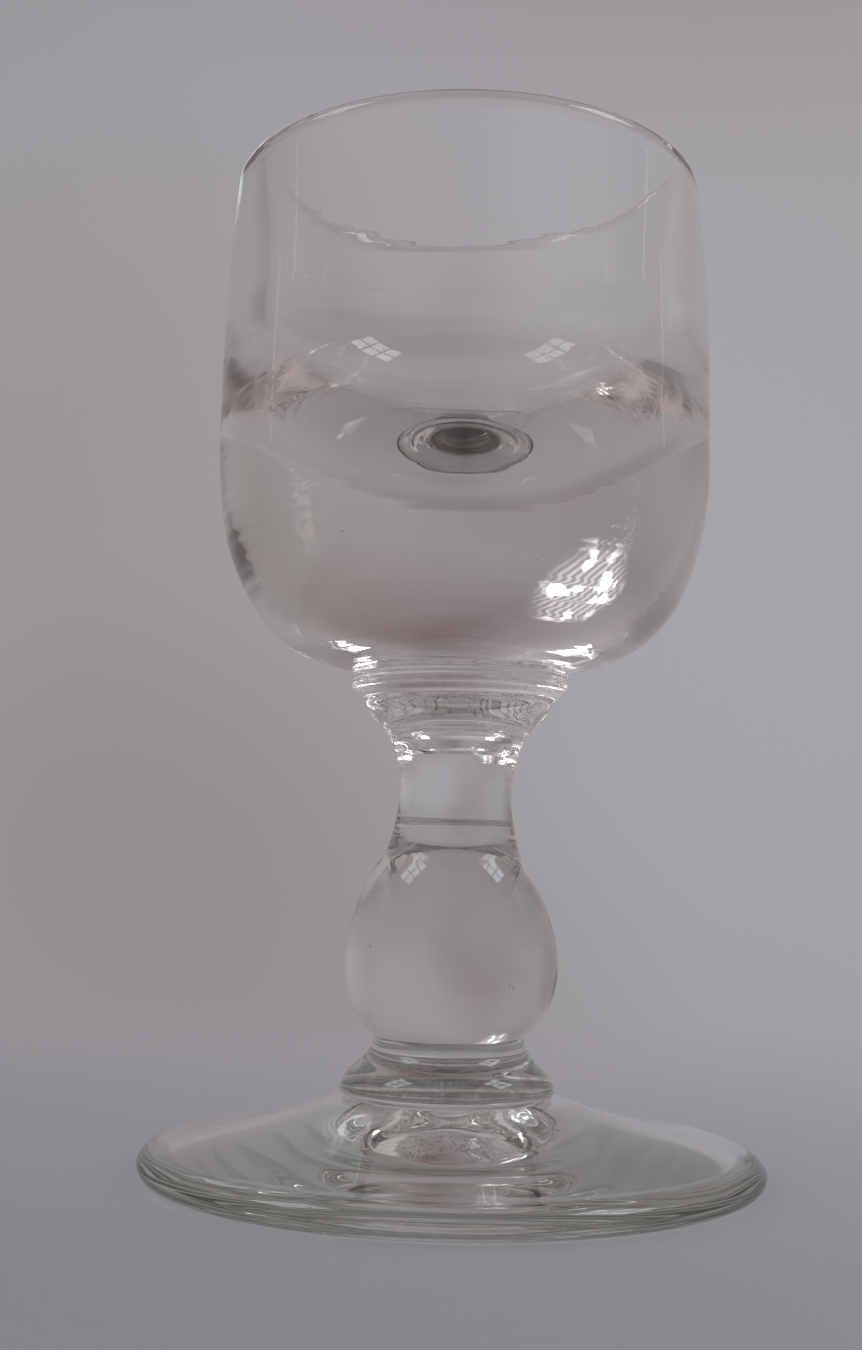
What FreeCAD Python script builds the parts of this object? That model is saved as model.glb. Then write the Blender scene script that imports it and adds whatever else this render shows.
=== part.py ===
import FreeCAD, Part
import math
import os
import Sketcher

# Hand-made glass on a stem: a thick-based bowl, a disc-and-taper collar, a short
# column, a pear-shaped knop, a cushion collar and a heavy round foot.  Every piece
# is a solid of revolution about Z; neighbours meet on flat round joint faces.
# Origin: centre of the footprint, on the table.  +Z is up.  Units: mm.

doc = FreeCAD.newDocument("StemmedGlass")

# ---------------------------------------------------------------- driving sizes
SIZES = [
    # bowl, outside
    ("total_height", 113.0, "table to top of the lip"),
    ("bowl_joint_z", 56.0, "where the bowl sits on the upper collar"),
    ("bowl_joint_radius", 12.4, "radius of that joint"),
    ("bowl_base_curve", 18.5, "radius of the round under the bowl"),
    ("bowl_side_z", 75.6, "top of the round under the bowl"),
    ("bowl_radius", 28.0, "largest radius of the bowl"),
    ("bowl_barrel_z", 84.0, "where the wall starts leaning in"),
    ("bowl_barrel_curve", 300.0, "radius of the barrel curve of the wall"),
    ("rim_radius", 26.7, "outside radius at the rim"),
    # bowl, inside
    ("cavity_floor_z", 75.5, "lowest point inside, above the table"),
    ("cavity_floor_curve", 23.3, "radius of the round floor, centred on the axis"),
    ("cavity_side_curve", 20.8, "radius of the turn from floor to wall"),
    ("cavity_radius", 22.6, "inside radius at the foot of the wall"),
    ("mouth_radius", 23.0, "inside radius at the mouth"),
    ("lip_round", 1.75, "rounding of the fire-polished lip"),
    # upper collar
    ("disc_radius", 12.3, "disc under the bowl"),
    ("disc_low_z", 53.1, "underside of the disc"),
    ("disc_round", 0.7, "rounding of the disc's lower edge"),
    ("taper_top_radius", 11.3, "top of the taper under the disc"),
    ("taper_curve", 60.0, "slight hollow of the taper"),
    ("column_top_z", 46.6, "collar to column joint"),
    ("column_top_radius", 7.05, "radius of that joint"),
    # column
    ("column_curve", 20.0, "waist curve of the column"),
    ("column_low_z", 38.2, "column to knop joint"),
    ("column_low_radius", 6.75, "radius of that joint"),
    # knop
    ("knop_neck_curve", 6.0, "hollow curve above the knop"),
    ("knop_shoulder_z", 34.3, "where the knop turns convex"),
    ("knop_shoulder_radius", 8.2, "radius there"),
    ("knop_upper_curve", 20.0, "upper curve of the knop"),
    ("knop_wide_z", 23.0, "widest point of the knop"),
    ("knop_radius", 11.9, "radius there"),
    ("knop_lower_curve", 9.5, "lower curve of the knop"),
    ("knop_low_z", 15.0, "knop to lower collar joint"),
    ("knop_low_radius", 8.3, "radius of that joint"),
    # lower collar
    ("cushion_curve", 12.0, "hollow of the collar's flare"),
    ("cushion_top_z", 10.9, "where the flare meets the cushion's roll"),
    ("cushion_top_radius", 11.2, "radius there"),
    ("cushion_roll", 1.5, "round of the roll"),
    ("foot_top_z", 8.5, "cushion to foot joint"),
    ("foot_top_radius", 11.4, "radius of that joint"),
    # foot
    ("foot_radius", 34.2, "outside radius of the foot"),
    ("foot_edge_height", 3.6, "height of the foot's edge"),
    ("foot_slope_curve", 95.0, "slight hollow of the foot's top"),
    ("foot_edge_round", 1.6, "rounding of the foot's edge"),
    ("hollow_radius", 30.5, "conical hollow under the foot"),
    ("hollow_height", 3.2, "height of that hollow on the axis"),
]

sheet = doc.addObject("Spreadsheet::Sheet", "Sizes")
SIZE = {}
for row, (alias, value, note) in enumerate(SIZES, start=1):
    sheet.set("A%d" % row, alias)
    sheet.set("B%d" % row, repr(value))
    sheet.set("C%d" % row, note)
    sheet.setAlias("B%d" % row, alias)
    SIZE[alias] = value

# worked out: the cavity's floor arc and side arc are tangent, so they meet in line with
# both centres, and the wall starts level with the side arc's centre
FORMULAS = [
    ("cavity_turn_radius",
     "=cavity_floor_curve * (cavity_radius - cavity_side_curve)"
     " / (cavity_floor_curve - cavity_side_curve)",
     "radius where the floor turns into the side"),
    ("cavity_turn_z",
     "=cavity_floor_z + cavity_floor_curve"
     " - sqrt(cavity_floor_curve ^ 2 - cavity_turn_radius ^ 2)",
     "height there"),
    ("cavity_side_z",
     "=cavity_floor_z + cavity_floor_curve - sqrt((cavity_floor_curve"
     " - cavity_side_curve) ^ 2 - (cavity_radius - cavity_side_curve) ^ 2)",
     "foot of the wall"),
]
for row, (alias, formula, note) in enumerate(FORMULAS, start=len(SIZES) + 1):
    sheet.set("A%d" % row, alias)
    sheet.set("B%d" % row, formula)
    sheet.set("C%d" % row, note)
    sheet.setAlias("B%d" % row, alias)
    doc.recompute()
    SIZE[alias] = float(sheet.get(alias))


# ---------------------------------------------------------------------- helpers
def plane_of(body, role):
    """The body's own origin plane or axis with this role."""
    for item in body.Origin.OriginFeatures:
        if item.Role == role:
            return item
    raise RuntimeError("no origin feature " + role)


def arc_between(start, end, radius, bulge):
    """Arc from start to end; bulge +1 keeps its centre left of the chord, -1 right."""
    mid = (start + end) * 0.5
    chord = end - start
    half = chord.Length / 2.0
    rise = math.sqrt(max(radius * radius - half * half, 0.0))
    left = FreeCAD.Vector(-chord.y, chord.x, 0) / chord.Length
    centre = mid + left * (rise * bulge)
    a = math.atan2(start.y - centre.y, start.x - centre.x)
    b = math.atan2(end.y - centre.y, end.x - centre.x)
    circle = Part.Circle(centre, FreeCAD.Vector(0, 0, 1), radius)
    if bulge > 0:
        return Part.ArcOfCircle(circle, a, b if b > a else b + 2 * math.pi), 1, 2
    return Part.ArcOfCircle(circle, b, a if a > b else a + 2 * math.pi), 2, 1


def profile(body, name, corners, sides):
    """Closed half-section in the body's XZ plane.

    corners: (radius alias or None for the axis, height alias or None for z = 0)
    sides:   None for a straight side, or (radius alias, bulge) for an arc,
             side i running from corner i to corner i + 1.
    """
    sketch = body.newObject("Sketcher::SketchObject", name)
    sketch.AttachmentSupport = [(plane_of(body, "XZ_Plane"), "")]
    sketch.MapMode = "FlatFace"
    spots = [FreeCAD.Vector(SIZE[r] if r else 0.0, SIZE[z] if z else 0.0, 0)
             for r, z in corners]
    ends = []
    for i, side in enumerate(sides):
        a, b = spots[i], spots[(i + 1) % len(spots)]
        if side is None:
            geo, first, last = Part.LineSegment(a, b), 1, 2
        else:
            geo, first, last = arc_between(a, b, SIZE[side[0]], side[1])
        ends.append((sketch.addGeometry(geo, False), first, last))
    for i, (geo, first, last) in enumerate(ends):
        following = ends[(i + 1) % len(ends)]
        sketch.addConstraint(
            Sketcher.Constraint("Coincident", geo, last, following[0], following[1]))
    for i, (r, z) in enumerate(corners):
        geo, first, last = ends[i]
        for kind, axis_geo, alias in (("DistanceX", -2, r), ("DistanceY", -1, z)):
            if alias is None:
                sketch.addConstraint(
                    Sketcher.Constraint("PointOnObject", geo, first, axis_geo))
            else:
                index = sketch.addConstraint(
                    Sketcher.Constraint(kind, -1, 1, geo, first, SIZE[alias]))
                label = "%s_%d" % ("r" if kind == "DistanceX" else "z", i)
                sketch.renameConstraint(index, label)
                sketch.setExpression("Constraints." + label, "Sizes." + alias)
    for i, side in enumerate(sides):
        if side is not None:
            index = sketch.addConstraint(
                Sketcher.Constraint("Radius", ends[i][0], SIZE[side[0]]))
            sketch.renameConstraint(index, "curve_%d" % i)
            sketch.setExpression("Constraints.curve_%d" % i, "Sizes." + side[0])
    doc.recompute()
    return sketch


def spin(body, name, sketch, kind="PartDesign::Revolution"):
    """Full turn of a half-section about Z, added (Revolution) or cut (Groove)."""
    feature = body.newObject(kind, name)
    feature.Profile = sketch
    feature.ReferenceAxis = (sketch, ["V_Axis"])
    feature.Angle = 360.0
    sketch.Visibility = False
    doc.recompute()
    return feature


def round_edge(body, name, radius, height, alias):
    """Fillet the one horizontal circular edge at this radius and height."""
    base = body.Tip
    found = []
    for i, edge in enumerate(base.Shape.Edges, start=1):
        if edge.Degenerated:
            continue
        curve = edge.Curve
        if isinstance(curve, Part.Circle) and abs(curve.Axis.z) > 0.99:
            if abs(curve.Radius - radius) < 0.05 and abs(curve.Center.z - height) < 0.05:
                found.append("Edge%d" % i)
    if len(found) != 1:
        raise RuntimeError("%s: expected one edge, found %d" % (name, len(found)))
    fillet = body.newObject("PartDesign::Fillet", name)
    fillet.Base = (base, found)
    fillet.Radius = SIZE[alias]
    fillet.setExpression("Radius", "Sizes." + alias)
    doc.recompute()
    return fillet


def new_body(label):
    body = doc.addObject("PartDesign::Body", label)
    body.Label = label
    body.Placement = FreeCAD.Placement()
    return body


# ------------------------------------------------------------------------- bowl
bowl = new_body("bowl")
spin(bowl, "BowlBlank", profile(
    bowl, "BowlOutside",
    [(None, "bowl_joint_z"), ("bowl_joint_radius", "bowl_joint_z"),
     ("bowl_radius", "bowl_side_z"), ("bowl_radius", "bowl_barrel_z"),
     ("rim_radius", "total_height"), (None, "total_height")],
    [None, ("bowl_base_curve", 1), None, ("bowl_barrel_curve", 1), None, None]))
spin(bowl, "BowlCavity", profile(
    bowl, "BowlInside",
    [(None, "cavity_floor_z"), ("cavity_turn_radius", "cavity_turn_z"),
     ("cavity_radius", "cavity_side_z"), ("mouth_radius", "total_height"),
     (None, "total_height")],
    [("cavity_floor_curve", 1), ("cavity_side_curve", 1), None, None, None]),
    "PartDesign::Groove")
round_edge(bowl, "LipOutside", SIZE["rim_radius"], SIZE["total_height"], "lip_round")
round_edge(bowl, "LipInside", SIZE["mouth_radius"], SIZE["total_height"], "lip_round")

# ----------------------------------------------------------------- upper collar
collar = new_body("upper_collar")
spin(collar, "CollarTurned", profile(
    collar, "CollarSection",
    [(None, "column_top_z"), ("column_top_radius", "column_top_z"),
     ("taper_top_radius", "disc_low_z"), ("disc_radius", "disc_low_z"),
     ("disc_radius", "bowl_joint_z"), (None, "bowl_joint_z")],
    [None, ("taper_curve", -1), None, None, None, None]))
round_edge(collar, "DiscEdge", SIZE["disc_radius"], SIZE["disc_low_z"], "disc_round")

# ----------------------------------------------------------------------- column
column = new_body("stem_column")
spin(column, "ColumnTurned", profile(
    column, "ColumnSection",
    [(None, "column_low_z"), ("column_low_radius", "column_low_z"),
     ("column_top_radius", "column_top_z"), (None, "column_top_z")],
    [None, ("column_curve", -1), None, None]))

# ------------------------------------------------------------------------- knop
knop = new_body("knop")
spin(knop, "KnopTurned", profile(
    knop, "KnopSection",
    [(None, "knop_low_z"), ("knop_low_radius", "knop_low_z"),
     ("knop_radius", "knop_wide_z"), ("knop_shoulder_radius", "knop_shoulder_z"),
     ("column_low_radius", "column_low_z"), (None, "column_low_z")],
    [None, ("knop_lower_curve", 1), ("knop_upper_curve", 1),
     ("knop_neck_curve", -1), None, None]))

# ----------------------------------------------------------------- lower collar
cushion = new_body("lower_collar")
spin(cushion, "CushionTurned", profile(
    cushion, "CushionSection",
    [(None, "foot_top_z"), ("foot_top_radius", "foot_top_z"),
     ("cushion_top_radius", "cushion_top_z"), ("knop_low_radius", "knop_low_z"),
     (None, "knop_low_z")],
    [None, ("cushion_roll", 1), ("cushion_curve", -1), None, None]))

# ------------------------------------------------------------------------- foot
foot = new_body("foot")
spin(foot, "FootTurned", profile(
    foot, "FootSection",
    [(None, None), ("foot_radius", None), ("foot_radius", "foot_edge_height"),
     ("foot_top_radius", "foot_top_z"), (None, "foot_top_z")],
    [None, None, ("foot_slope_curve", -1), None, None]))
spin(foot, "FootHollow", profile(
    foot, "FootUnderside",
    [(None, None), ("hollow_radius", None), (None, "hollow_height")],
    [None, None, None]), "PartDesign::Groove")
round_edge(foot, "FootEdgeTop", SIZE["foot_radius"], SIZE["foot_edge_height"],
           "foot_edge_round")
round_edge(foot, "FootEdgeLow", SIZE["foot_radius"], 0.0, "foot_edge_round")

# --------------------------------------------------------------- check and save
doc.recompute()
for obj in doc.Objects:
    if "Invalid" in obj.State or "Error" in obj.State:
        raise RuntimeError("bad feature: " + obj.Name)
    if hasattr(obj, "Shape") and obj.isDerivedFrom("PartDesign::Feature"):
        if obj.Shape.isNull() or not obj.Shape.isValid():
            raise RuntimeError("bad shape: " + obj.Name)

os.makedirs("parts", exist_ok=True)
for body in (bowl, collar, column, knop, cushion, foot):
    shape = body.Shape
    if shape.isNull() or not shape.isValid() or len(shape.Solids) != 1:
        raise RuntimeError("bad body: " + body.Label)
    shape.exportStep("parts/%s.step" % body.Label)
    box = shape.optimalBoundingBox()
    print("%-13s z %7.2f..%7.2f  r %6.2f  volume %9.1f mm3"
          % (body.Label, box.ZMin, box.ZMax, box.XMax, shape.Volume))
print("built", doc.Name)
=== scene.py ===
import math
import random

import bmesh
import bpy
import numpy as np
from mathutils import Matrix, Vector


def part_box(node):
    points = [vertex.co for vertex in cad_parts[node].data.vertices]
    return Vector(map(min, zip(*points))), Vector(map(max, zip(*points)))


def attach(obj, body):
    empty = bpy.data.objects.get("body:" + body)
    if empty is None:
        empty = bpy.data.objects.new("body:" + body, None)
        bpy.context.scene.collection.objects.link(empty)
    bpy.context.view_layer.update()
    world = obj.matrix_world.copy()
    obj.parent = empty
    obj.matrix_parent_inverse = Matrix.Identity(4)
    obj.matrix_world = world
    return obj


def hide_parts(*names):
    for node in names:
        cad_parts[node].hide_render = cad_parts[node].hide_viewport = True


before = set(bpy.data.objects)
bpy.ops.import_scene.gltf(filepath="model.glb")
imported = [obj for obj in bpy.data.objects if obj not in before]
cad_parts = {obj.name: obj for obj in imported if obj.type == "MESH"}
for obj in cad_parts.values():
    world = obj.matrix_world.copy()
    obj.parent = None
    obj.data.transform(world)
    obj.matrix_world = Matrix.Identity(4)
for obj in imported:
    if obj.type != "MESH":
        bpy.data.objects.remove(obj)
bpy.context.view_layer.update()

MM = 0.001
SPOKES = 288                      # points round every ring


# ============================================================ CAD key levels (mm)
def span(node):
    """A node's lowest and highest level and its radius."""
    low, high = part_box(node)
    return low.z / MM, high.z / MM, (high.x - low.x) / 2 / MM


BOWL_LOW, RIM_TOP, BOWL_R = span("bowl")
COLLAR_LOW, _, DISC_R = span("upper_collar")
COLUMN_LOW, _, _ = span("stem_column")
KNOP_LOW, _, KNOP_R = span("knop")
CUSHION_LOW, _, _ = span("lower_collar")
_, _, FOOT_R = span("foot")

# radii of the round faces where the gathers are fused, as in the CAD
BOWL_JOINT_R = 12.4
COLUMN_TOP_R = 7.05
COLUMN_LOW_R = 6.75
KNOP_LOW_R = 8.3
FOOT_TOP_R = 11.4


# ================================================================ shape helpers
def run_length(points):
    """How far each point is along the line through them all."""
    return np.r_[0, np.cumsum(np.hypot(*np.diff(points, axis=0).T))]


def spline(points, step):
    """A natural cubic curve through (r, z) points, about one point every step mm."""
    p = np.array(points, float)
    t = run_length(p)
    n, h = len(t), np.diff(t)
    m = np.eye(n)
    rhs = np.zeros((n, 2))
    for i in range(1, n - 1):
        m[i, i - 1:i + 2] = h[i - 1], 2 * (h[i - 1] + h[i]), h[i]
        rhs[i] = 6 * ((p[i + 1] - p[i]) / h[i] - (p[i] - p[i - 1]) / h[i - 1])
    bend = np.linalg.solve(m, rhs)
    s = np.linspace(0, t[-1], max(int(round(t[-1] / step)), 2) + 1)
    k = np.clip(np.searchsorted(t, s) - 1, 0, n - 2)
    a, b, hk = (t[k + 1] - s)[:, None], (s - t[k])[:, None], h[k][:, None]
    return ((bend[k] * a ** 3 + bend[k + 1] * b ** 3) / (6 * hk)
            + (p[k] / hk - bend[k] * hk / 6) * a
            + (p[k + 1] / hk - bend[k + 1] * hk / 6) * b)


def rise(base, points):
    """(r, z) points whose heights are counted from base."""
    return [(r, base + z) for r, z in points]


def arc(cx, cz, rx, rz, a0, a1, step):
    """Points on an elliptical arc, angles in degrees."""
    n = max(int(abs(math.radians(a1 - a0)) * max(rx, rz) / step), 3)
    a = np.radians(np.linspace(a0, a1, n + 1))
    return np.c_[cx + rx * np.cos(a), cz + rz * np.sin(a)]


def line(p, q, step):
    """Points on a straight line, about one every step mm."""
    n = max(int(math.dist(p, q) / step), 1)
    return np.linspace(p, q, n + 1)


def chain(*runs):
    """Runs of profile points joined end to end, with doubled points left out."""
    out = [runs[0][0]]
    for run in runs:
        for q in run:
            if math.dist(out[-1], q) > 0.004:
                out.append(q)
    return np.array(out)


def waves(seed, count, around, shortest, longest):
    """A smooth random field of (angle, height): count waves, each up to `around` times
    round the piece and between `shortest` and `longest` mm long up it."""
    rng = random.Random(seed)
    kit = [(rng.randint(0, around), 2 * math.pi / rng.uniform(shortest, longest),
            rng.uniform(0, 6.28), rng.uniform(0.5, 1.0)) for _ in range(count)]
    total = math.sqrt(sum(w[3] ** 2 for w in kit) / 2)

    def field(angle, height):
        return sum(w[3] * np.sin(w[0] * angle + w[1] * height + w[2])
                   for w in kit) / total
    return field


def near(value, centre, width):
    """1 at centre, falling to 0 on both sides of it."""
    return np.exp(-((value - centre) / width) ** 2)


def above(value, level, width):
    """0 under level, 1 over it, with a smooth step about width wide."""
    return 1 / (1 + np.exp(-(value - level) / width))


# The real glass is a little crooked: how far its centre wanders to the side, by height,
# and the same line finely divided with its corners rounded off.
LEAN_Z = [0, 4, 9, 13, 16, 24, 33, 41, 52, 57, 62, 69, 76, 90, 104, 113]
LEAN_X = [0, -.25, -.75, -.52, -.6, -.48, -.52, -.24, -.1, .1, .25, .05, .2, .06, .15, .0]
FINE_Z = np.linspace(-2, 116, 600)
ROUNDING = np.hanning(41) / np.hanning(41).sum()
FINE_X = np.convolve(np.pad(np.interp(FINE_Z, LEAN_Z, LEAN_X), 20, "edge"),
                     ROUNDING, "valid")


def lean(z):
    return np.interp(z, FINE_Z, FINE_X)


# ====================================================================== the lathe
def turned(p, joints, dent):
    """The profile turned and dented: x, y and z in mm, a row for each profile point
    and a column for each spoke."""
    d = np.gradient(p, axis=0)
    length = np.maximum(np.hypot(d[:, 0], d[:, 1]), 1e-9)
    out_r, out_z = d[:, 1] / length, -d[:, 0] / length
    angle = np.arange(SPOKES) * 2 * math.pi / SPOKES
    r = np.repeat(p[:, 0:1], SPOKES, 1)
    z = np.repeat(p[:, 1:2], SPOKES, 1)
    free = np.ones_like(z)
    for level in joints:              # joint rims stay put, so that neighbours meet
        free *= 1 - near(z, level, 0.10)
    push = free * dent(np.repeat(angle[None, :], len(p), 0), r, z,
                       np.repeat(run_length(p)[:, None], SPOKES, 1))
    r = np.maximum(r + push * out_r[:, None], 0)
    z = z + push * out_z[:, None]
    return r * np.cos(angle)[None, :] + lean(z), r * np.sin(angle)[None, :], z


def skin_between(low, high):
    """The faces between two rings of points, either of which may be a single point."""
    faces = []
    for k in range(SPOKES):
        n = (k + 1) % SPOKES
        if len(low) == 1:
            faces.append((low[0], high[n], high[k]))
        elif len(high) == 1:
            faces.append((low[k], low[n], high[0]))
        else:
            faces.append((low[k], low[n], high[n], high[k]))
    return faces


def crease_joints(mesh):
    """A crease round each joint face keeps its flat shading out of the wall's."""
    work = bmesh.new()
    work.from_mesh(mesh)
    layer = work.faces.layers.float["fused"]
    for e in work.edges:
        if len(e.link_faces) == 2:
            a, b = (f[layer] > 0.5 for f in e.link_faces)
            e.smooth = a == b
    work.to_mesh(mesh)
    work.free()


def lathe(name, profile, joints, dent):
    """A closed turned piece.  profile runs from the axis underneath, outside, to the
    axis on top.  joints: heights of the flat faces where it is fused to a neighbour;
    the skin there is marked so that the glass runs on.  dent(angle, r, z, along)
    moves the surface outwards, in mm."""
    p = np.array(profile, float)
    x, y, z = turned(p, joints, dent)
    verts, rings = [], []
    for i in range(len(p)):
        if p[i, 0] < 1e-6:
            rings.append([len(verts)])
            verts.append((float(lean(p[i, 1])) * MM, 0.0, p[i, 1] * MM))
        else:
            rings.append(range(len(verts), len(verts) + SPOKES))
            verts.extend(zip((x[i] * MM).tolist(), (y[i] * MM).tolist(),
                             (z[i] * MM).tolist()))
    faces, fused = [], []
    for i in range(len(rings) - 1):
        flat = any(abs(p[i, 1] - j) < 1e-6 and abs(p[i + 1, 1] - j) < 1e-6
                   for j in joints)
        faces.extend(skin_between(rings[i], rings[i + 1]))
        fused.extend([1.0 if flat else 0.0] * SPOKES)
    mesh = bpy.data.meshes.new(name)
    mesh.from_pydata(verts, [], faces)
    mesh.update()
    mesh.attributes.new("fused", "FLOAT", "FACE").data.foreach_set("value", fused)
    mesh.polygons.foreach_set("use_smooth", [True] * len(faces))
    piece = bpy.data.objects.new(name, mesh)
    bpy.context.scene.collection.objects.link(piece)
    crease_joints(mesh)
    return piece


def add_seeds(piece, seeds):
    """Tiny air bubbles inside the glass: (x, y, z, radius, stretch) in mm."""
    work = bmesh.new()
    work.from_mesh(piece.data)
    for x, y, z, radius, stretch in seeds:
        made = bmesh.ops.create_icosphere(work, subdivisions=3, radius=radius * MM)
        bmesh.ops.scale(work, vec=(1, 1, stretch), verts=made["verts"])
        bmesh.ops.translate(work, vec=(x * MM, y * MM, z * MM), verts=made["verts"])
        skin = {f for v in made["verts"] for f in v.link_faces}
        bmesh.ops.reverse_faces(work, faces=list(skin))
        for f in skin:
            f.smooth = True
    work.to_mesh(piece.data)
    work.free()


# ================================================================ the six pieces
broad = waves(3, 7, 3, 22, 60)        # the slow bends of a hand-made wall
middle = waves(8, 9, 4, 7, 18)
streak = waves(12, 22, 2, 0.55, 1.9)  # fine rings left by the tools

# ---- bowl
LIP_H = 1.9                           # height of the rounded lip
LIP_R = 26.72                         # outside radius at the foot of the lip
LIP_ARC = 3.0                         # along the lip, from the wall to its top
outer = spline(rise(BOWL_LOW, [(BOWL_JOINT_R, 0), (16.0, .75), (18.9, 1.85), (22.7, 5.05),
                               (25.4, 9.5), (27.1, 15.0), (27.85, 20.6), (BOWL_R, 28),
                               (27.98, 36.6), (27.4, 47.5)])
               + [(LIP_R, RIM_TOP - LIP_H)], 0.3)
CAVITY_R, MOUTH_R = 22.6, 23.0
CAVITY_DEPTH = 37.5
FLOOR_Z = RIM_TOP - CAVITY_DEPTH
FLOOR_CURVE, SIDE_CURVE = 23.3, 20.8
side_r = CAVITY_R - SIDE_CURVE        # centre of the side arc
side_z = FLOOR_Z + FLOOR_CURVE - math.sqrt((FLOOR_CURVE - SIDE_CURVE) ** 2 - side_r ** 2)
meet = -math.degrees(math.acos(side_r / (FLOOR_CURVE - SIDE_CURVE)))
inner = chain(
    line((MOUTH_R, RIM_TOP - LIP_H), (CAVITY_R, side_z), 0.5),
    arc(side_r, side_z, SIDE_CURVE, SIDE_CURVE, 0, meet, 0.35),
    arc(0, FLOOR_Z + FLOOR_CURVE, FLOOR_CURVE, FLOOR_CURVE, meet, -89.5, 0.35))
lip = arc((LIP_R + MOUTH_R) / 2, RIM_TOP - LIP_H, (LIP_R - MOUTH_R) / 2, LIP_H, 0, 180, 0.12)
LIP_TOP = BOWL_JOINT_R + run_length(outer)[-1] + LIP_ARC      # along the whole profile


def bowl_dent(a, r, z, along):
    """Slow bends outside and inside, with fine tool rings low on the outside."""
    inside = above(along, LIP_TOP, 1.0)
    low = 1 - above(z, BOWL_LOW + 16, 2.5)
    skin = (0.05 * broad(a, z) + 0.012 * middle(a, z)
            + 0.006 * low * streak(a, z * 0.7) + 0.002 * streak(a + 1, z * 0.5))
    hollow = 0.05 * broad(a + 2, z * 1.3) * np.clip((z - FLOOR_Z) / 8, 0, 1)
    return skin + (hollow - skin) * inside


bowl = lathe("bowl_glass", chain(
    line((0, BOWL_LOW), (BOWL_JOINT_R, BOWL_LOW), 1.2), outer, lip, inner,
    np.array([(0.0, FLOOR_Z)])), [BOWL_LOW], bowl_dent)

# ---- upper collar: a tooled disc and the taper under it
TOOL_RINGS = [(1.2, .012, 0), (2.2, .015, 3), (5.9, .02, 4),
              (7.3, .03, 5), (7.9, .05, 1), (8.5, .04, 3)]      # height, depth, turn


def collar_dent(a, r, z, along):
    """Grooves of the tool, each a little askew, on a skin that is nearly true."""
    grooves = sum(deep * near(z + .05 * np.sin(a + turn), COLLAR_LOW + level, .13)
                  for level, deep, turn in TOOL_RINGS)
    skin = .0005 * streak(a, z * .6) + 0.01 * broad(a, z * 3)
    return (r > COLUMN_TOP_R - .5) * (skin - grooves)


collar = lathe("upper_collar_glass", chain(
    line((0, COLLAR_LOW), (COLUMN_TOP_R, COLLAR_LOW), 1.0),
    spline(rise(COLLAR_LOW, [(COLUMN_TOP_R, 0), (7.6, 1.3), (8.95, 3.1), (10.3, 4.8),
                             (11.2, 6.15), (11.95, 6.75), (DISC_R, 7.4), (DISC_R, 8.6)])
           + [(BOWL_JOINT_R, BOWL_LOW)], 0.06),
    line((BOWL_JOINT_R, BOWL_LOW), (0, BOWL_LOW), 1.2)), [COLLAR_LOW, BOWL_LOW],
    collar_dent)


# ---- column
def column_dent(a, r, z, along):
    return (r > 6) * (0.02 * broad(a, z * 2) + 0.006 * middle(a, z))


column = lathe("stem_column_glass", chain(
    line((0, COLUMN_LOW), (COLUMN_LOW_R, COLUMN_LOW), 1.0),
    spline(rise(COLUMN_LOW, [(COLUMN_LOW_R, 0), (6.42, 1.8), (6.37, 3.6), (6.52, 6.0)])
           + [(COLUMN_TOP_R, COLLAR_LOW)], 0.12),
    line((COLUMN_TOP_R, COLLAR_LOW), (0, COLLAR_LOW), 1.0)), [COLUMN_LOW, COLLAR_LOW],
    column_dent)


# ---- knop
def knop_dent(a, r, z, along):
    return (r > 6) * (0.03 * broad(a, z * 1.5) + 0.008 * middle(a, z))


knop = lathe("knop_glass", chain(
    line((0, KNOP_LOW), (KNOP_LOW_R, KNOP_LOW), 1.0),
    spline(rise(KNOP_LOW, [(KNOP_LOW_R, 0), (9.95, 1.7), (11.4, 4.2), (KNOP_R, 7.6),
                           (11.6, 10.8), (10.4, 14.8), (9.35, 17.3), (8.3, 19.05),
                           (7.6, 20.15), (7.15, 21.6)])
           + [(COLUMN_LOW_R, COLUMN_LOW)], 0.12),
    line((COLUMN_LOW_R, COLUMN_LOW), (0, COLUMN_LOW), 1.0)), [KNOP_LOW, COLUMN_LOW],
    knop_dent)


# ---- lower collar: a cushion with tool marks round its foot
def cushion_dent(a, r, z, along):
    marks = 0.0015 * streak(a, z * .6) * near(z, CUSHION_LOW + 1.0, 1.2)
    return (r > 8) * (marks + 0.01 * broad(a, z * 2))


cushion = lathe("lower_collar_glass", chain(
    line((0, CUSHION_LOW), (FOOT_TOP_R, CUSHION_LOW), 1.0),
    spline(rise(CUSHION_LOW, [(FOOT_TOP_R, 0), (11.85, .7), (11.65, 1.7), (10.95, 2.8),
                              (9.7, 3.95), (8.75, 5.1)])
           + [(KNOP_LOW_R, KNOP_LOW)], 0.06),
    line((KNOP_LOW_R, KNOP_LOW), (0, KNOP_LOW), 1.0)), [CUSHION_LOW, KNOP_LOW],
    cushion_dent)

# ---- foot: a shallow cone beneath, a flat resting ring and a thin rounded edge
HOLLOW_R, HOLLOW_H = 30.5, 3.2
REST_R = 31.9


def foot_dent(a, r, z, along):
    """Uneven on top; the resting ring and the cone stay true."""
    upper = (r > 11.2) * np.clip((z - 0.2) / 2.5, 0, 1)
    return upper * (0.03 * broad(a, r * .6) + 0.001 * middle(a, r * .5))


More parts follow.
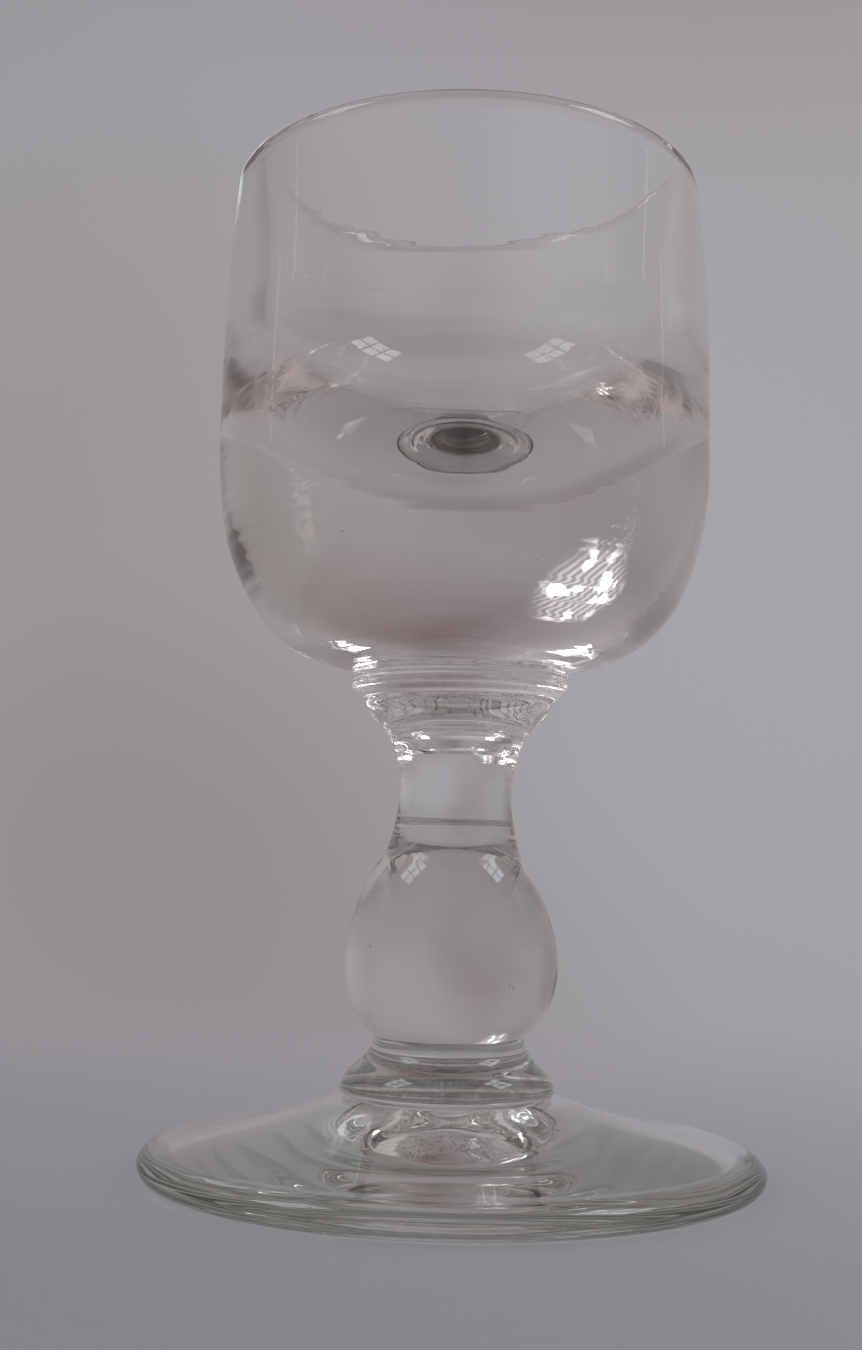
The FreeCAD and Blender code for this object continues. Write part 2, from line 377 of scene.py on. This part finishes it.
foot = lathe("foot_glass", chain(
    np.array([(0.0, HOLLOW_H)]),
    line((0.3, HOLLOW_H), (HOLLOW_R, 0), 0.4),
    line((HOLLOW_R, 0), (REST_R, 0), 0.4),
    spline([(REST_R, 0), (33.2, 0.2), (33.95, 0.8), (FOOT_R, 1.6), (33.9, 2.4),
            (33.1, 3.1), (31.5, 3.5), (27.0, 4.3), (21.5, 5.6), (16.5, 7.05),
            (13.2, 8.15), (FOOT_TOP_R, CUSHION_LOW)], 0.12),
    line((FOOT_TOP_R, CUSHION_LOW), (0, CUSHION_LOW), 1.0)), [CUSHION_LOW], foot_dent)

# ---- a few round seeds, and in the knop two drawn out side by side
add_seeds(knop, [(5.0, -6.5, KNOP_LOW + 6.5, .10, 3.0), (5.35, -6.3, KNOP_LOW + 6.2, .08, 3.2),
                 (-8.3, -5.0, KNOP_LOW + 9.8, .12, 1.0)])
add_seeds(bowl, [(-12, -20, BOWL_LOW + 12, .15, 1), (7, -22, BOWL_LOW + 9, .10, 1),
                 (15, 12, BOWL_LOW + 14, .14, 1)])
add_seeds(foot, [(1.0, -13.5, 7.0, .16, 1.0)])


# ================================================================== shader helpers
def fresh(name):
    mat = bpy.data.materials.new(name)
    mat.use_nodes = True
    mat.node_tree.nodes.clear()
    return mat, mat.node_tree


def ramp(nt, value, low, high, to_low=0.0, to_high=1.0, ease="SMOOTHSTEP"):
    """value taken from low..high to to_low..to_high, and held at both ends."""
    node = nt.nodes.new("ShaderNodeMapRange")
    node.interpolation_type = ease
    node.inputs["From Min"].default_value = low
    node.inputs["From Max"].default_value = high
    node.inputs["To Min"].default_value = to_low
    node.inputs["To Max"].default_value = to_high
    nt.links.new(value, node.inputs["Value"])
    return node.outputs[0]


def maths(nt, operation, left, right, clamp=False):
    node = nt.nodes.new("ShaderNodeMath")
    node.operation = operation
    node.use_clamp = clamp
    nt.links.new(left, node.inputs[0])
    nt.links.new(right, node.inputs[1])
    return node.outputs[0]


def measure(nt, operation, place, other):
    """DISTANCE from a fixed point, or DOT_PRODUCT with a fixed direction."""
    node = nt.nodes.new("ShaderNodeVectorMath")
    node.operation = operation
    nt.links.new(place, node.inputs[0])
    node.inputs[1].default_value = other
    return node.outputs["Value"]


def noise(nt, place, scale, detail):
    node = nt.nodes.new("ShaderNodeTexNoise")
    node.inputs["Scale"].default_value = scale
    node.inputs["Detail"].default_value = detail
    nt.links.new(place, node.inputs["Vector"])
    return node.outputs["Fac"]


def bump(nt, height, strength, distance, shader):
    node = nt.nodes.new("ShaderNodeBump")
    node.inputs["Strength"].default_value = strength
    node.inputs["Distance"].default_value = distance
    nt.links.new(height, node.inputs["Height"])
    nt.links.new(node.outputs[0], shader.inputs["Normal"])


def colour_mix(nt, factor, a, b, clamp=True):
    node = nt.nodes.new("ShaderNodeMix")
    node.data_type = "RGBA"
    node.clamp_factor = clamp
    node.inputs["A"].default_value = a
    node.inputs["B"].default_value = b
    nt.links.new(factor, node.inputs["Factor"])
    return node.outputs["Result"]


def surface_mix(nt, factor, first, second):
    """Sends first to the material's surface where factor is 0, and second where it is 1.
    Returns the output node."""
    out = nt.nodes.new("ShaderNodeOutputMaterial")
    mix = nt.nodes.new("ShaderNodeMixShader")
    nt.links.new(factor, mix.inputs[0])
    nt.links.new(first.outputs[0], mix.inputs[1])
    nt.links.new(second.outputs[0], mix.inputs[2])
    nt.links.new(mix.outputs[0], out.inputs["Surface"])
    return out


# =========================================================================== glass
WHITE = (1, 1, 1, 1)
SHADOW_TINT = (0.93, 0.93, 0.92, 1)


def clear_glass(name, tint, density):
    """Clear glass that tints light by its thickness.  A face marked fused is inside the
    solid glass, where two gathers meet, so light passes it as if it weren't there.  A
    shadow ray goes straight through every skin, dimmed a little by each."""
    mat, nt = fresh(name)
    n, wire = nt.nodes, nt.links.new
    skin = n.new("ShaderNodeBsdfPrincipled")
    skin.inputs["Base Color"].default_value = WHITE
    skin.inputs["Transmission Weight"].default_value = 1.0
    skin.inputs["IOR"].default_value = 1.51
    place = n.new("ShaderNodeTexCoord").outputs["Object"]
    smear = noise(nt, place, 90.0, 5.0)           # finger marks and a film of dust
    wire(ramp(nt, smear, 0.45, 0.75, 0.0, 0.035, "LINEAR"), skin.inputs["Roughness"])
    drawn = n.new("ShaderNodeMapping")            # drawn out round the glass
    drawn.inputs["Scale"].default_value = (110, 110, 900)
    wire(place, drawn.inputs["Vector"])
    ripple = noise(nt, drawn.outputs[0], 1.0, 2.0)
    bump(nt, ripple, 0.22, 0.00002, skin)         # the fire-polished skin
    mark = n.new("ShaderNodeAttribute")
    mark.attribute_name = "fused"
    fused = mark.outputs["Fac"]
    shadow = n.new("ShaderNodeLightPath").outputs["Is Shadow Ray"]
    at_skin = maths(nt, "SUBTRACT", shadow, fused, clamp=True)
    through = n.new("ShaderNodeBsdfTransparent")
    wire(colour_mix(nt, at_skin, WHITE, SHADOW_TINT), through.inputs["Color"])
    out = surface_mix(nt, maths(nt, "MAXIMUM", fused, shadow), skin, through)
    body = n.new("ShaderNodeVolumeAbsorption")
    body.inputs["Color"].default_value = tint
    body.inputs["Density"].default_value = density
    wire(body.outputs[0], out.inputs["Volume"])
    return mat


grey_glass = clear_glass("clear_glass", (0.52, 0.39, 0.31, 1), 7.0)
deep_glass = clear_glass("clear_glass_knop", (0.45, 0.36, 0.29, 1), 13.0)
green_glass = clear_glass("clear_glass_foot", (0.46, 0.47, 0.38, 1), 16.0)

pieces = {bowl: "bowl", collar: "upper_collar", column: "stem_column",
          knop: "knop", cushion: "lower_collar", foot: "foot"}
for piece, node in pieces.items():
    piece.data.materials.append({"foot": green_glass, "knop": deep_glass}.get(node, grey_glass))
    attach(piece, "root")
    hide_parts(node)

# =========================================================================== floor
STAGE_R = 0.9
FLOOR_RINGS, FLOOR_SLICES = 24, 96
FLOOR_DROP = 0.00005                  # just under the foot, so the two don't touch


def floor_paper():
    """Grained paper that fades into the walls a little way out from the glass. Its tone has
    painted light and shade in it: paler towards the back right, darker towards the front left.
    """
    mat, nt = fresh("floor_paper")
    n, wire = nt.nodes, nt.links.new
    place = n.new("ShaderNodeTexCoord").outputs["Object"]
    grain = noise(nt, place, 900.0, 4.0)
    behind = measure(nt, "DOT_PRODUCT", place, (0.7, 0.7, 0))
    painted_light_ramp = ramp(nt, behind, -0.09, 0.11)          # painted light and shade: paler towards the back, on the right, darker towards the front left
    speck = ramp(nt, grain, 0, 1, -0.08, 0.08, "LINEAR")
    # the paper's own grain, plus the painted light and shade of the ramp above
    grain_and_painted_light = colour_mix(nt, maths(nt, "ADD", painted_light_ramp, speck), (0.415, 0.425, 0.445, 1),
                      (0.60, 0.59, 0.615, 1), clamp=False)
    paper = n.new("ShaderNodeBsdfDiffuse")
    wire(grain_and_painted_light, paper.inputs["Color"])
    bump(nt, grain, 0.3, 0.00003, paper)
    position = n.new("ShaderNodeNewGeometry").outputs["Position"]
    far = measure(nt, "DISTANCE", position, (0, 0, 0))
    fade = ramp(nt, far, 0.045, 0.20)
    surface_mix(nt, fade, paper, n.new("ShaderNodeBsdfTransparent"))
    return mat


def round_floor():
    work = bmesh.new()
    turns = [2 * math.pi * k / FLOOR_SLICES for k in range(FLOOR_SLICES)]
    rows = [[work.verts.new((0, 0, -FLOOR_DROP))]]
    for i in range(1, FLOOR_RINGS + 1):
        r = STAGE_R * i / FLOOR_RINGS
        rows.append([work.verts.new((r * math.cos(t), r * math.sin(t), -FLOOR_DROP))
                     for t in turns])
    for low, high in zip(rows, rows[1:]):
        for k in range(FLOOR_SLICES):
            n = (k + 1) % FLOOR_SLICES
            work.faces.new([low[0], high[k], high[n]] if len(low) == 1
                           else [low[k], high[k], high[n], low[n]])
    mesh = bpy.data.meshes.new("floor")
    work.to_mesh(mesh)
    work.free()
    obj = bpy.data.objects.new("floor", mesh)
    bpy.context.scene.collection.objects.link(obj)
    mesh.materials.append(floor_paper())


round_floor()


# ================================================================ walls and lights
def studio_world(base, glows):
    """Pale walls, a little lighter and darker by direction.  Each glow is (azimuth,
    elevation, half width, colour to add), in degrees; azimuth 0 is +X, 90 is +Y."""
    world = bpy.data.worlds.new("studio")
    bpy.context.scene.world = world
    world.use_nodes = True
    nt = world.node_tree
    nt.nodes.clear()
    n, wire = nt.nodes, nt.links.new
    out = n.new("ShaderNodeOutputWorld")
    sky = n.new("ShaderNodeBackground")
    wire(sky.outputs[0], out.inputs["Surface"])
    look = n.new("ShaderNodeTexCoord").outputs["Generated"]
    total = n.new("ShaderNodeVectorMath")
    total.operation = "ADD"
    total.inputs[0].default_value = base
    total.inputs[1].default_value = (0, 0, 0)
    for azimuth, elevation, width, colour in glows:
        az, el = math.radians(azimuth), math.radians(elevation)
        centre = (math.cos(el) * math.cos(az), math.cos(el) * math.sin(az), math.sin(el))
        toward = measure(nt, "DOT_PRODUCT", look, centre)
        part = n.new("ShaderNodeVectorMath")
        part.operation = "SCALE"
        part.inputs[0].default_value = colour
        wire(ramp(nt, toward, math.cos(math.radians(width)), 1.0), part.inputs["Scale"])
        more = n.new("ShaderNodeVectorMath")
        more.operation = "ADD"
        wire(total.outputs[0], more.inputs[0])
        wire(part.outputs[0], more.inputs[1])
        total = more
    wire(total.outputs[0], sky.inputs["Color"])


studio_world((0.338, 0.326, 0.345), [
    (72, 16, 32, (.045, .047, .054)),        # the wall behind, lighter on the right
    (99, -9, 20, (-.040, -.048, -.052)),     # its soft shadow, low on the left
    (98, 10, 16, (-.004, -.022, -.026)),     # a trace warmer above that
    (80, 49, 28, (-.065, -.090, -.088)),     # its dim upper part
    (45, 45, 45, (-.020, -.030, -.050)),     # up on the right, dimmer
    (140, 62, 45, (-.10, -.11, -.12)),       # and on the left too
    (120, 54, 25, (.12, .12, .14)),          # with a lighter patch in it
    (160, 0, 32, (-.10, -.10, -.11)),        # darker on the left, lighter on the right
    (25, 3, 30, (.08, .08, .08)),
    (315, 15, 45, (.27, .24, .24)),          # daylight from the right, in front
    (345, -45, 25, (.25, .26, .26)),         # and low on the right
    (225, 60, 45, (.12, .145, .165)),        # the bright ceiling on the left
    (200, 40, 60, (.14, .12, .11)),
    (270, -30, 28, (-.24, -.24, -.26)),      # the dim side of the room
    (337, -16, 25, (-.33, -.34, -.37)),      # something dark, low on the right
    (15, -75, 70, (.08, .06, .06)),          # a little light from below
])

MIDDLE = (0, 0, 0.06)
DAYLIGHT = (0.95, 0.97, 1.0)
WARM_LIGHT = (1, 0.93, 0.88)
PANE = 0.86                       # lit part of each pane's width and height


def facing(place, aim):
    return (Vector(aim) - Vector(place)).to_track_quat("-Z", "Y")


def window(name, place, size, panes, radiance, tint):
    """A window as a grid of lit panes, seen only in the glass and on the floor."""
    columns, rows = panes
    turn = facing(place, MIDDLE)
    width, height = size[0] / columns, size[1] / rows
    for i in range(columns):
        for j in range(rows):
            data = bpy.data.lights.new(f"{name}_{i}{j}", "AREA")
            data.shape = "RECTANGLE"
            data.size, data.size_y = width * PANE, height * PANE
            data.energy = radiance * math.pi * data.size * data.size_y
            data.color = tint
            lamp = bpy.data.objects.new(f"{name}_{i}{j}", data)
            bpy.context.scene.collection.objects.link(lamp)
            shift = Vector(((i + .5) * width - size[0] / 2,
                            (j + .5) * height - size[1] / 2, 0))
            lamp.location = Vector(place) + turn @ shift
            lamp.rotation_euler = turn.to_euler()
            lamp.visible_camera = False


window("window_right", (0.71, -0.06, 0.92), (0.38, 0.42), (2, 3), 4.0, DAYLIGHT)
window("window_left", (-0.70, -0.10, 0.92), (0.38, 0.42), (2, 3), 3.0, DAYLIGHT)
window("gap_left", (-1.05, 0.15, 0.40), (0.03, 0.30), (1, 1), 0.6, DAYLIGHT)
window("gap_right", (1.05, 0.17, 0.40), (0.03, 0.30), (1, 1), 0.6, WARM_LIGHT)


def blind_light():
    """Daylight through a half drawn blind: soft edge, bright gaps and thin slats."""
    mat, nt = fresh("blind_light")
    n, wire = nt.nodes, nt.links.new
    out = n.new("ShaderNodeOutputMaterial")
    glow = n.new("ShaderNodeEmission")
    glow.inputs["Color"].default_value = (*DAYLIGHT, 1)
    over = n.new("ShaderNodeAddShader")
    wire(glow.outputs[0], over.inputs[0])
    wire(n.new("ShaderNodeBsdfTransparent").outputs[0], over.inputs[1])
    wire(over.outputs[0], out.inputs["Surface"])
    place = n.new("ShaderNodeTexCoord").outputs["Generated"]
    patches = noise(nt, place, 5.0, 3.0)
    slats = n.new("ShaderNodeTexWave")
    slats.bands_direction = "DIAGONAL"
    slats.inputs["Scale"].default_value = 6.5
    slats.inputs["Distortion"].default_value = 1.2
    wire(place, slats.inputs["Vector"])
    edge = ramp(nt, measure(nt, "DISTANCE", place, (0.5, 0.5, 0.5)), 0.28, 0.50, 1, 0)
    bright = ramp(nt, patches, 0.51, 0.61, 0, 1.9)
    stripes = ramp(nt, slats.outputs["Fac"], 0.35, 0.65, 0.15, 0.55)
    wire(maths(nt, "MULTIPLY", edge, maths(nt, "ADD", bright, stripes)),
         glow.inputs["Strength"])
    return mat


def card(name, place, size, shader):
    """A flat card beside the glass, turned to it and seen only in it."""
    half_w, half_h = size[0] / 2, size[1] / 2
    mesh = bpy.data.meshes.new(name)
    mesh.from_pydata([(-half_w, -half_h, 0), (half_w, -half_h, 0), (half_w, half_h, 0),
                      (-half_w, half_h, 0)], [], [(0, 1, 2, 3)])
    obj = bpy.data.objects.new(name, mesh)
    bpy.context.scene.collection.objects.link(obj)
    obj.location = place
    obj.rotation_euler = facing(place, MIDDLE).to_euler()
    obj.visible_camera = False
    mesh.materials.append(shader)


card("blind", (-0.305, 0.78, 0.61), (0.36, 0.34), blind_light())

# ========================================================================== camera
# Eye level with the stem, looking a little up, rolled a degree.
FOCAL_MM, SENSOR_MM = 29.155556, 24.0
PITCH, ROLL = math.radians(6.37), math.radians(1.05)
EYE = Vector((-0.00328, -0.1857, 0.0346))


def aimed_camera():
    lens = bpy.data.cameras.new("camera")
    lens.sensor_fit = "VERTICAL"
    lens.sensor_height = SENSOR_MM
    lens.lens = FOCAL_MM
    lens.clip_start = 0.01
    camera = bpy.data.objects.new("camera", lens)
    bpy.context.scene.collection.objects.link(camera)
    ahead = Vector((0, math.cos(PITCH), math.sin(PITCH)))
    right = Vector((1, 0, 0))
    up = right.cross(ahead)
    right, up = (right * math.cos(ROLL) + up * math.sin(ROLL),
                 up * math.cos(ROLL) - right * math.sin(ROLL))
    camera.matrix_world = (Matrix.Translation(EYE)
                           @ Matrix((right, up, -ahead)).transposed().to_4x4())
    bpy.context.scene.camera = camera


aimed_camera()
bpy.context.scene.view_settings.view_transform = "Standard"
cycles = bpy.context.scene.cycles     # thick clear glass needs long light paths
cycles.max_bounces = cycles.transmission_bounces = 40
cycles.glossy_bounces = 24
cycles.transparent_max_bounces = 64
